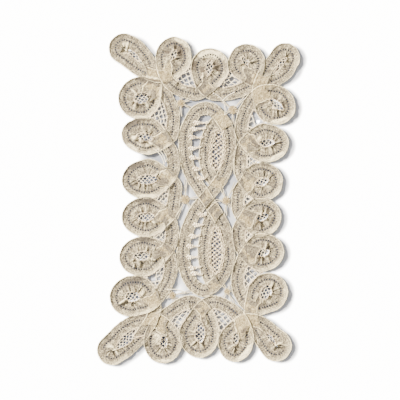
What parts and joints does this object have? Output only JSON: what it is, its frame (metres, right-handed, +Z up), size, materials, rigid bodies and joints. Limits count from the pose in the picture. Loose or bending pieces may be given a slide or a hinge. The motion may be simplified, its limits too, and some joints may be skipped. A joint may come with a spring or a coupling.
{
  "type": "bobbin lace mat",
  "caption": "Oblong flat lace mat: narrow woven tape laid in loops round a figure-of-eight middle, with netted eyes, ladders of bars and small worked wheels.",
  "frame": {"origin": "middle of the mat, on the surface it lies on", "axes": "+Z up from the surface, +Y along the mat's length towards the end with the wider corner loops set higher, +X across it"},
  "size_m": [0.1865, 0.305, 0.005],
  "materials": {
    "tape": "matt woven cotton or linen tape, ecru, a little uneven and stained",
    "thread": "matt cream sewing thread, twisted and knotted",
    "wheel_thread": "matt straw-coloured thread, closely worked"
  },
  "bodies": {
    "root": {"border_tape": "tape", "middle_tape": "tape", "split_tape_upper": "tape", "split_tape_lower": "tape", "eye_right_6": "thread", "eye_bottom_5": "thread", "eye_bottom_4": "thread", "eye_bottom_3": "thread", "eye_bottom_2": "thread", "eye_bottom_1": "thread", "eye_left_6": "thread", "eye_left_5": "thread", "eye_left_4": "thread", "eye_left_3": "thread", "eye_left_2": "thread", "eye_left_1": "thread", "eye_top_1": "thread", "eye_top_2": "thread", "eye_top_3": "thread", "eye_top_4": "thread", "eye_top_5": "thread", "eye_right_1": "thread", "eye_right_2": "thread", "eye_right_3": "thread", "eye_right_4": "thread", "eye_right_5": "thread", "net_top_left": "thread", "net_top_right": "thread", "net_left_1": "thread", "net_left_3": "thread", "net_left_4": "thread", "net_left_5": "thread", "net_right_1": "thread", "net_right_2": "thread", "net_right_3": "thread", "net_right_4": "thread", "net_right_5": "thread", "net_bottom_left": "thread", "net_bottom_right": "thread", "ladder_upper": "thread", "ladder_lower": "thread", "net_upper": "thread", "net_lower": "thread", "wheel_top_left": "wheel_thread", "wheel_top_right": "wheel_thread", "wheel_middle_left": "wheel_thread", "wheel_middle_right": "wheel_thread", "wheel_bottom_left": "wheel_thread", "wheel_bottom_right": "wheel_thread"}
  },
  "joints": []
}
